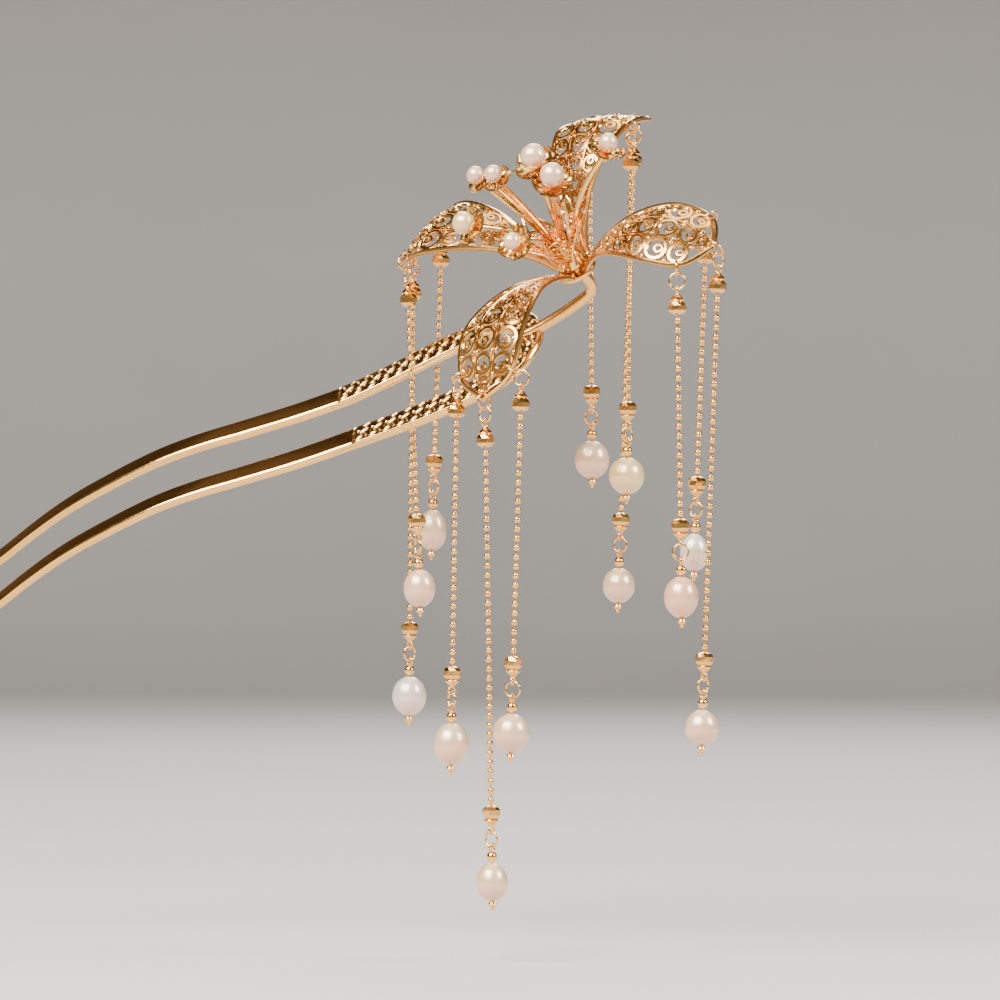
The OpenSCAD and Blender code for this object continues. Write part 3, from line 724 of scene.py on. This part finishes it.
def petal_point(shape, r, y):
    crown, tip, bank, stretch = shape[1:]
    s = (r - BASE_R) / LEAF_L
    if s < CROWN_SHARE:
        climb = max(s - RISE_SHARE, 0) / (CROWN_SHARE - RISE_SHARE)
        z = crown * PETAL_CROWN * math.sin(math.pi / 2 * climb) ** CROWN_ROUND
    else:
        fall = 1 - math.cos(math.pi / 2 * min((s - CROWN_SHARE) / (1 - CROWN_SHARE), 1.2))
        z = PETAL_CROWN * (crown - (crown - tip) * fall)
    z += smooth(s * 2) * (bank * y - CAMBER * y * y * 2 / PETAL_W)
    return Vector((BASE_R + (r - BASE_R) * stretch, y, z))


def on_petal(shape, p):
    """A point of the flat leaf, laid on the domed petal and turned to its place."""
    along = petal_point(shape, p.x + NUDGE, p.y) - petal_point(shape, p.x - NUDGE, p.y)
    across = petal_point(shape, p.x, p.y + NUDGE) - petal_point(shape, p.x, p.y - NUDGE)
    normal = along.cross(across).normalized()
    return FLOWER @ (rotation(shape[0], "Z") @ (petal_point(shape, p.x, p.y) + normal * p.z))


for side_name, shape in PETALS.items():
    petal = copy_of(leaf)
    petal.name = petal.data.name = "petal_openwork_" + side_name
    lay(petal, lambda p, s=shape: on_petal(s, p))
    in_metres(petal)
    finish(petal, petal_gold, ["petal_" + side_name])
bpy.data.objects.remove(leaf)

# %% [markdown]
# ## Stamens
# Seven stamens rise from a hub in the middle. Each stem is a bundle of three fine wires laid side by
# side, and it ends in a little flower that holds a pearl. A bundle without a flower fills the space
# between the first two, which share one thick stem. Each small flower has five pointed petals, and a
# petal is one sheet that is ribbed, dished and curled up at its point. Round the stems' feet stands
# a calyx of narrow pierced leaves.

# %% Directions of the stamens
STAMEN_L, STEM_D, CUP_D, CUP_PLATE_T = 22.6, 0.9, 6.2, 0.5
HUB_R, HUB_H, FOOT_R, POST_H = 2.55, 2.7, 1.4, 1.3
# turn, rise, the pearl's diameter and the flower's share of its full size
STAMENS = [(160.7, 71.6, 3.0, 0.76), (-159.8, 81.8, 2.9, 0.76), (-13.4, 79.2, 4.2, 1.02),
           (-42.2, 66.6, 4.0, 1.02), (9.8, 48.4, 3.2, 0.95), (-147.9, 58.6, 3.7, 1),
           (-99.1, 50.5, 2.8, 0.9)]
BETWEEN_FIRST_TWO = (174.0, 78.2, 5.2, 0)  # has no flower, and ends a little lower
THICK_STEM = STAMENS[:2] + [BETWEEN_FIRST_TWO]
WIDEST_CUP = STAMENS[2]
KNEE_OUT, KNEE_UP = 0.36, 0.52


def stamen_turn(row):
    """Turns +Z onto the stamen's direction, in the flower's own frame."""
    return rotation(row[0] - FLOWER_TURN, "Z") @ rotation(90 - row[1], "Y")


def cup_at(row):
    """How far along its stem a flower sits, just short of the pearl."""
    return STAMEN_L - row[2] / 2 - FIT_GAP


# %% A bundle of wires for each stem
STRAND_STEP, STRAND_W, STRAND_H, STEM_STEPS = 0.54, 0.44, 0.6, 18
CLOSING = 0.5  # how far the strands of a single stem close up towards its flower


def stem(row):
    way = stamen_turn(row) @ Vector((0, 0, 1))
    foot = Vector((way.x * FOOT_R, way.y * FOOT_R, TAB_ROOF + POST_H + FIT_GAP * 2 + STEM_D / 2))
    knee = Vector((way.x * STAMEN_L * KNEE_OUT, way.y * STAMEN_L * KNEE_OUT, STAMEN_L * KNEE_UP))
    course = arc_between(foot, knee, way * (cup_at(row) - CUP_PLATE_T / 2), STEM_STEPS)
    side = Vector((way.y, -way.x, 0)).normalized()
    closing = 0 if row in THICK_STEM else CLOSING
    strands = []
    for k in (-1, 0, 1):
        spread = [side * (STRAND_STEP * k * (1 - closing * i / STEM_STEPS)) for i in range(STEM_STEPS + 1)]
        strands.append(wire("strand", [p + s for p, s in zip(course, spread)],
                            STRAND_W, STRAND_H, 6, side=side))
    return join("stem", strands)


# %% A small flower that holds a pearl
CUP_LEAVES, CUP_RIBS, CUP_RIB_H, CUP_SHEET_T = 5, 3, 0.13, 0.28
CUP_HEART_R, CUP_SPREAD, WIDEST_SPREAD = 0.3, 1.16, 1.32
DISH, CURL_H, CURL_FROM, CURL_SPAN, CUPPING = 0.055, 0.75, 0.62, 0.38, 0.2
HOOK_R, HOOK_FROM, HOOK_SPAN, CUP_SINK = 0.3, 0.8, 0.2, 0.3
# painted shade: how much the valleys between the ribs of a cup petal are darkened
VALLEY_PAINTED_SHADE = 0.9
BOSS_ROWS = [(0.3, -1.7), (0.55, -1.4), (0.6, -0.9), (1.2, -0.4), (1.4, 0.0), (0.4, 0.05)]


def cup_petal(reach, k):
    """One pointed petal: a grid that is dished, ribbed and curled up at its point."""
    leaf_part = added(bpy.ops.mesh.primitive_grid_add, x_subdivisions=10, y_subdivisions=12, size=1)

    def rule(p):
        s, t = p.x + 0.5, 2 * p.y
        r = CUP_HEART_R + (reach - CUP_HEART_R) * s
        half = reach * 0.5 * math.sin(math.pi * min(0.14 + 0.86 * s, 1)) ** 0.8 + 0.05
        ribs = CUP_RIB_H * math.cos(CUP_RIBS * math.pi * t) * math.sin(math.pi * min(s * 1.05, 1))
        curl = CURL_H * smooth((s - CURL_FROM) / CURL_SPAN) ** 1.5
        z = DISH * r * r + curl + CUPPING * half * t * t + ribs
        r -= HOOK_R * smooth((s - HOOK_FROM) / HOOK_SPAN)
        return rotation(360 / CUP_LEAVES * k, "Z") @ Vector((r, t * half, z - CUP_SINK))

    # painted shade: the valleys between the ribs are darkened, fading in from the petal's heart
    valley = leaf_part.data.attributes.new("hollow_shade", "FLOAT", "POINT")
    for vertex in leaf_part.data.vertices:
        deep = 0.5 - 0.5 * math.cos(2 * CUP_RIBS * math.pi * vertex.co.y)
        valley.data[vertex.index].value = VALLEY_PAINTED_SHADE * deep * smooth(2 * vertex.co.x + 1)
    lay(leaf_part, rule)
    thick = leaf_part.modifiers.new("thickness", "SOLIDIFY")
    thick.thickness, thick.offset = CUP_SHEET_T, 0
    apply_all(leaf_part)
    return leaf_part


def pearl_cup(row):
    reach = CUP_D / 2 * row[3] * (WIDEST_SPREAD if row is WIDEST_CUP else CUP_SPREAD)
    parts = [cup_petal(reach, k) for k in range(CUP_LEAVES)]
    parts.append(turned("boss", BOSS_ROWS, 14))
    cup = join("cup", parts)
    lay(cup, lambda p: stamen_turn(row) @ (p + Vector((0, 0, cup_at(row)))))
    return cup


stems = [stem(row) for row in STAMENS + [BETWEEN_FIRST_TWO]]
cups = [pearl_cup(row) for row in STAMENS]
print("stems and cups:", len(stems), len(cups))

# %% The hub and the calyx of pierced leaves
CALYX_H, CALYX_LEAVES, CALYX_TURN = 8.2, 5, 18.5
CALYX_LONG, CALYX_HALF = CALYX_H + 1.6, 2.3
CALYX_FOOT_R, CALYX_LEAN, CALYX_FLOOR, CALYX_CUPPING = 1.6, 4.8, 0.9, 0.12
CALYX_STEPS, CALYX_RIM, CALYX_RIB = 16, (0.6, 0.5, 6), (0.55, 0.5, 6)
CALYX_SCROLLS = ((2.4, 0.95), (4.5, 1.12), (6.8, 1.05))  # place along the leaf, and half size


def calyx_leaf(k):
    """A narrow pierced leaf that stands on the hub and leans outwards."""
    def outline(s):
        return CALYX_HALF * math.sin(math.pi * min(s * 0.8 + 0.2, 1)) ** 0.7 + 0.15

    edge = [Vector((CALYX_LONG * i / CALYX_STEPS, outline(i / CALYX_STEPS), 0))
            for i in range(CALYX_STEPS + 1)]
    course = edge + [Vector((p.x, -p.y, 0)) for p in reversed(edge)]
    parts = [wire("leaf_rim", course, *CALYX_RIM)]
    for at, size in CALYX_SCROLLS:
        for hand in (-1, 1):
            eye = scroll("leaf_scroll", size, size * 0.95, 0.4)
            lay(eye, lambda p, x=at, y=hand * size: Vector((p.x + x, p.y + y, p.z * 0.6)))
            parts.append(eye)
    parts.append(wire("leaf_rib", [Vector((CALYX_LONG * x / 6, 0, 0)) for x in range(7)], *CALYX_RIB))
    leaf_piece = join("calyx_leaf", parts)

    def stand(p):
        s = p.x / CALYX_LONG
        lean = CALYX_FOOT_R + CALYX_LEAN * s * (0.5 + 0.5 * s)
        upright = Vector((lean - p.y * p.y * CALYX_CUPPING + p.z, p.y, CALYX_FLOOR + CALYX_H * s))
        return rotation(360 / CALYX_LEAVES * k + CALYX_TURN, "Z") @ upright

    lay(leaf_piece, stand)
    return leaf_piece


hub = turned("hub", [(1.2, TAB_ROOF + FIT_GAP), (HUB_R - 0.1, TAB_ROOF + FIT_GAP),
                     (HUB_R, TAB_ROOF + 0.4), (HUB_R * 0.86, TAB_ROOF + 1.5),
                     (HUB_R * 0.7, TAB_ROOF + HUB_H - 0.1), (0.4, TAB_ROOF + HUB_H + 0.2)], 40)
leaves = [calyx_leaf(k) for k in range(CALYX_LEAVES)]
heart = join("stamen_cluster", stems + cups + leaves + [hub])
edit(heart, lambda: bpy.ops.mesh.normals_make_consistent(inside=False))
lay(heart, lambda p: FLOWER @ p)
in_metres(heart)
finish(heart, stamen_gold, ["stamens"], crease=35)

# %% [markdown]
# ## Pearls
# Freshwater pearls are never true balls. Each is a sphere that is stretched to its solid's length,
# narrowed a little to one end, and given a shallow ring and a slightly oval girth. The numbers that
# shape it come from its place in the row, so the pearls differ but stay the same on every run.

# %% Shape a pearl inside its solid's box
GOLDEN_ANGLE, TAPER_STEP = 137.5, 1.7
TAPER, RING_DEPTH, RING_AT, RING_W = 0.035, 0.012, 0.35, 0.12
OVAL, SLIMMER = 0.012, 0.015


def pearl_piece(name, node, kind, seed):
    low_corner, high_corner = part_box(node)
    centre = (low_corner + high_corner) / 2 / MM
    size = (high_corner - low_corner) / MM
    ball = added(bpy.ops.mesh.primitive_uv_sphere_add, segments=40, ring_count=26, radius=0.5)
    ball.name = ball.data.name = name
    twist = math.radians(GOLDEN_ANGLE * seed)

    def rule(p):
        z = 2 * p.z
        ring = RING_DEPTH * math.exp(-((z - RING_AT) / RING_W) ** 2)
        girth = 1 - TAPER * z * math.sin(seed * TAPER_STEP) - ring
        turn = math.atan2(p.y, p.x) + twist
        girth *= 1 + OVAL * math.cos(2 * turn) - SLIMMER
        return centre + Vector((p.x * girth * size.x, p.y * girth * size.y, p.z * size.z))

    # rise steers the painted shade and reflection: low points get the darker, rosier colour
    rise = ball.data.attributes.new("rise", "FLOAT", "POINT")
    for vertex in ball.data.vertices:
        rise.data[vertex.index].value = smooth(vertex.co.z + 0.6)
    lay(ball, rule)
    in_metres(ball)
    finish(ball, pearl_finishes[kind], [node], crease=180)


hanging = {letter: "cream" for letter in "abcdefghijkl"}
hanging.update(d="peach", e="silver", g="silver", k="yellow")
for seed, (letter, kind) in enumerate(hanging.items()):
    pearl_piece("tassel_pearl_" + letter, "pearl_" + letter, kind, seed)
YELLOW_STAMEN, STAMEN_SEEDS = 6, 19
for number in range(1, len(STAMENS) + 1):
    kind = "yellow" if number == YELLOW_STAMEN else "cream"
    pearl_piece(f"stamen_pearl_round_{number}", f"stamen_pearl_{number}", kind, number + STAMEN_SEEDS)

# %% [markdown]
# ## Ball chains
# The chains are ball chain: hollow beads of about one millimetre, joined by short pegs that just show
# in the gaps. One bead with its peg is enough, and an Array modifier repeats it down the chain's
# length. Its faces are few, because there are hundreds of beads. The run of each chain comes from its
# solid.

# %% One chain along its solid
BEAD_D, BEAD_PITCH, PEG_D, PEG_IN = 1.1, 1.48, 0.28, 0.4
END_BAND = 0.2


def chain_axis(node):
    """Middle of the upper and of the lower end of a chain's solid."""
    points = [v.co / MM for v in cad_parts[node].data.vertices]
    top, bottom = max(p.z for p in points), min(p.z for p in points)
    upper = [p for p in points if p.z > top - END_BAND]
    lower = [p for p in points if p.z < bottom + END_BAND]
    return sum(upper, Vector()) / len(upper), sum(lower, Vector()) / len(lower)


def ball_chain(letter):
    top, bottom = chain_axis("chain_" + letter)
    run = bottom - top
    count = round(run.length / BEAD_PITCH)
    pitch = run.length / count
    bead = added(bpy.ops.mesh.primitive_uv_sphere_add, segments=10, ring_count=7, radius=BEAD_D / 2)
    ends = [Vector((0, 0, z)) for z in (-PEG_IN, -pitch + PEG_IN)]
    peg = wire("peg", ends, PEG_D, count=6, side=(1, 0, 0))
    chain = join("ball_chain_" + letter, [bead, peg])
    repeat = chain.modifiers.new("repeat", "ARRAY")
    repeat.count = count
    repeat.use_relative_offset = False
    repeat.use_constant_offset = True
    repeat.constant_offset_displace = (0, 0, -pitch)
    apply_all(chain)
    turn = run.to_track_quat("-Z", "Y").to_matrix()
    lay(chain, lambda p: top + turn @ (p - Vector((0, 0, pitch / 2))))
    in_metres(chain)
    finish(chain, polished_gold, ["chain_" + letter], crease=60)


for letter in hanging:
    ball_chain(letter)

# %% [markdown]
# ## Rings, caps and headpins
# A jump ring goes through the petal's rim, a smaller ring hangs in it, and then comes a cap: a faceted
# ball with a little collar and a loop. The chain ends in a cap that is turned over, and a headpin
# with a bead above the pearl and a ball below it hangs in the last ring. The model holds each of
# these as a plain solid, so their places are read from it: the corners of every separate solid
# are sorted by height, and a ring's plane is square to the direction in which its corners spread
# least. A cap is modelled once, with slanting facets between rows that are turned by half a step.

# %% Read the places of a tassel's solids
CAP_D, CAP_L, LOOP_D, RING_WIRE_D = 2.9, 3.3, 1.2, 0.36
TOP_BEAD_D, END_BALL_D, HEADPIN_D = 1.7, 1.4, 0.44
CAP_SIDES, LOOP_STEPS = 8, 16
CAP_ROWS = [(0.3, 0), (0.76, 0.2), (1.02, 0.74), (1.02, 1.46), (0.78, 2.0), (0.4, 2.2)]
COLLAR_ROWS = [(0.5, 2.0), (0.74, 2.2), (0.80, 2.34), (0.74, 2.5), (0.46, 2.9), (0.3, 3.1),
               (0.24, CAP_L + 0.05)]
BEAD_DEGREES = (-75, -55, -35, -15, 10, 35, 55, 75)
END_BALL_ROWS = ((0.2, 0.8), (0.42, 0.66), (0.49, 0.4), (0.42, 0.1), (0.24, -0.14), (0.18, -0.22),
                 (0.24, -0.34), (0.23, -0.52), (0.08, -0.68))


def separate_solids(node):
    """Corners of each separate solid of a node, in millimetres."""
    twin = copy_of(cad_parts[node])
    edit(twin, lambda: bpy.ops.mesh.remove_doubles(threshold=0.000001))
    pick(twin)
    bpy.ops.mesh.separate(type="LOOSE")
    pieces = list(bpy.context.selected_objects)
    corners = [[v.co / MM for v in piece.data.vertices] for piece in pieces]
    for piece in pieces:
        bpy.data.objects.remove(piece)
    return corners


def ring_plane(corners):
    """Centre, normal and mean radius of a ring."""
    centre = sum(corners, Vector()) / len(corners)
    arms = [corner - centre for corner in corners]
    normal = Vector([float(v) for v in numpy.linalg.svd(numpy.array([list(a) for a in arms]))[2][2]])
    spans = [(arm - normal * arm.dot(normal)).length for arm in arms]
    return centre, normal, (max(spans) + min(spans)) / 2


# %% One cap, one ring and one headpin
def ring_of(mean_r, centre, normal, major=22):
    ring = added(bpy.ops.mesh.primitive_torus_add, major_segments=major, minor_segments=12,
                 major_radius=mean_r, minor_radius=RING_WIRE_D / 2)
    turn = normal.to_track_quat("Z", "Y").to_matrix()
    lay(ring, lambda p: centre + turn @ p)
    return ring


def loop_of(height):
    """A wire loop across Y, with its middle at this height."""
    return ring_of(LOOP_D / 2, Vector((0, 0, height)), Vector((0, 1, 0)), LOOP_STEPS)


def cap():
    """A cap with its chain end at the origin and its loop on top, across Y."""
    r = CAP_D / 2
    ball = turned("ball", [(share * r, z) for share, z in CAP_ROWS], CAP_SIDES, 0.5)
    edit(ball, lambda: bpy.ops.mesh.mark_sharp())
    collar = turned("collar", [(share * r, z) for share, z in COLLAR_ROWS], 20)
    return join("cap", [ball, collar, loop_of(CAP_L + LOOP_D / 2)])


def headpin(top, bottom):
    """Loop, bead, wire and end ball between two heights, across Y."""
    loop_at = top - (LOOP_D + RING_WIRE_D) / 2
    bead_at = loop_at - (LOOP_D + TOP_BEAD_D) / 2
    foot_at = bottom + END_BALL_D / 2
    r, shank_r = TOP_BEAD_D / 2, HEADPIN_D / 2
    loop = loop_of(loop_at)
    shank = turned("shank", [(shank_r, bead_at + r - 0.1), (shank_r, loop_at - LOOP_D / 2)], 10)
    bead = turned("bead", [(r * math.cos(a), bead_at + r * math.sin(a))
                           for a in map(math.radians, BEAD_DEGREES)], 24)
    wire_piece = turned("wire", [(shank_r, foot_at), (shank_r, bead_at)], 10)
    foot = turned("foot", [(END_BALL_D * share, foot_at + z) for share, z in END_BALL_ROWS], 18)
    return join("headpin", [loop, shank, bead, wire_piece, foot])


cap_model = cap()
print("triangles in one cap:", sum(len(f.vertices) - 2 for f in cap_model.data.polygons))

# %% Put a set of fittings on each tassel
def fittings(letter):
    top, bottom = chain_axis("chain_" + letter)
    up = (top - bottom).normalized()
    solids = sorted(separate_solids("fittings_" + letter),
                    key=lambda corners: -sum((c - top).dot(up) for c in corners) / len(corners))
    jump, link, high_cap, low_cap, low_link, pin_part = solids
    rings = [ring_plane(corners) for corners in (jump, link, low_link)]
    across = rings[1][1]
    across = (across - up * across.dot(up)).normalized()
    to_tassel = Matrix((across, up.cross(across), up)).transposed()
    parts = [ring_of(mean_r, centre, normal) for centre, normal, mean_r in rings]
    heights = [[(c - top).dot(up) for c in corners] for corners in (high_cap, low_cap, pin_part)]
    for base, flip in ((min(heights[0]), 1), (max(heights[1]), -1)):
        twin = copy_of(cap_model)
        lay(twin, lambda p, b=base, f=flip: top + to_tassel @ Vector((p.x, p.y * f, b + p.z * f)))
        parts.append(twin)
    pin_piece = headpin(max(heights[2]), min(heights[2]))
    lay(pin_piece, lambda p: top + to_tassel @ p)
    whole = join("tassel_fittings_" + letter, parts + [pin_piece])
    edit(whole, lambda: bpy.ops.mesh.normals_make_consistent(inside=False))
    in_metres(whole)
    finish(whole, polished_gold, ["fittings_" + letter], crease=31)


for letter in hanging:
    fittings(letter)
bpy.data.objects.remove(cap_model)

# %% [markdown]
# ## Floor and light
# Gold shows its surroundings more than itself. So the pale floor runs out into a round wall that grows
# darker upwards: the pin stands before a calm pale ground, and its polish still finds dark tones to
# mirror. A large soft panel above on the left and a smaller one on the right give each pearl the
# two highlights that it has in a studio, and two weak ones open up the back.

# %% A pale floor that runs up into a round wall
FLOOR_AT, FLOOR_R, WALL_BEND, WALL_H, CENTRE_X = -0.064, 1.2, 0.5, 1.8, 0.06
BEND_END = FLOOR_R + WALL_BEND * math.pi / 2
DARK_FROM, DARK_RATE = 0.12, 1.6


def bowl():
    """A flat disc whose edge bends up into a round wall."""
    floor = added(bpy.ops.mesh.primitive_grid_add, x_subdivisions=96, y_subdivisions=32, size=1)
    floor.name = floor.data.name = "pale_floor"

    def rule(p):
        turn = 2 * math.pi * (p.x + 0.5)
        v = (p.y + 0.5) * (BEND_END + WALL_H)
        if v < FLOOR_R:
            r, z = max(v, 0.0001), 0
        elif v < BEND_END:
            a = (v - FLOOR_R) / WALL_BEND
            r, z = FLOOR_R + WALL_BEND * math.sin(a), WALL_BEND * (1 - math.cos(a))
        else:
            r, z = FLOOR_R + WALL_BEND, v - FLOOR_R - WALL_BEND * (math.pi / 2 - 1)
        return Vector((r * math.cos(turn) + CENTRE_X, r * math.sin(turn), z + FLOOR_AT))

    lay(floor, rule)
    edit(floor, lambda: bpy.ops.mesh.remove_doubles(threshold=0.001))
    pick(floor)
    bpy.ops.object.shade_smooth()
    return floor


floor = bowl()
plaster = Finish("pale_floor")
height = plaster.node("ShaderNodeSeparateXYZ", sockets=[plaster.place()], output="Z")
pale = plaster.blend(plaster.noise(6, 3), (0.54, 0.52, 0.50, 1), (0.60, 0.58, 0.56, 1))
floor.data.materials.append(plaster.set(
    Base_Color=plaster.blend((height - DARK_FROM) * DARK_RATE, pale, (0.13, 0.095, 0.075, 1)),
    Roughness=0.9))
print("floor height in mm:", round(min(v.co.z for v in floor.data.vertices) * 1000, 1))

# %% Soft panels and a dim world
def panel(name, place, wide, high, power, colour):
    data = bpy.data.lights.new(name, "AREA")
    data.shape, data.size, data.size_y = "RECTANGLE", wide, high
    data.energy, data.color = power, colour
    light = bpy.data.objects.new(name, data)
    bpy.context.scene.collection.objects.link(light)
    aim = Vector((CENTRE_X, 0, 0.01)) - Vector(place)
    light.location = place
    light.rotation_euler = aim.to_track_quat("-Z", "Y").to_euler()


panel("key", (-0.13, -0.57, 0.63), 0.75, 0.5, 27, (1.0, 0.97, 0.92))
panel("second", (0.79, -0.05, 0.45), 0.3, 0.3, 8, (0.96, 0.98, 1.0))
panel("back", (-0.1, 0.75, 0.5), 0.35, 0.35, 4, (1.0, 0.95, 0.9))
panel("top", (0.06, 0.4, 1.4), 0.7, 0.7, 6, (1.0, 0.98, 0.95))
WORLD_COLOUR, WORLD_STRENGTH = (0.30, 0.22, 0.18, 1), 0.4
world = bpy.context.scene.world or bpy.data.worlds.new("world")
bpy.context.scene.world = world
world.use_nodes = True
world.node_tree.nodes["Background"].inputs[0].default_value = WORLD_COLOUR
world.node_tree.nodes["Background"].inputs[1].default_value = WORLD_STRENGTH
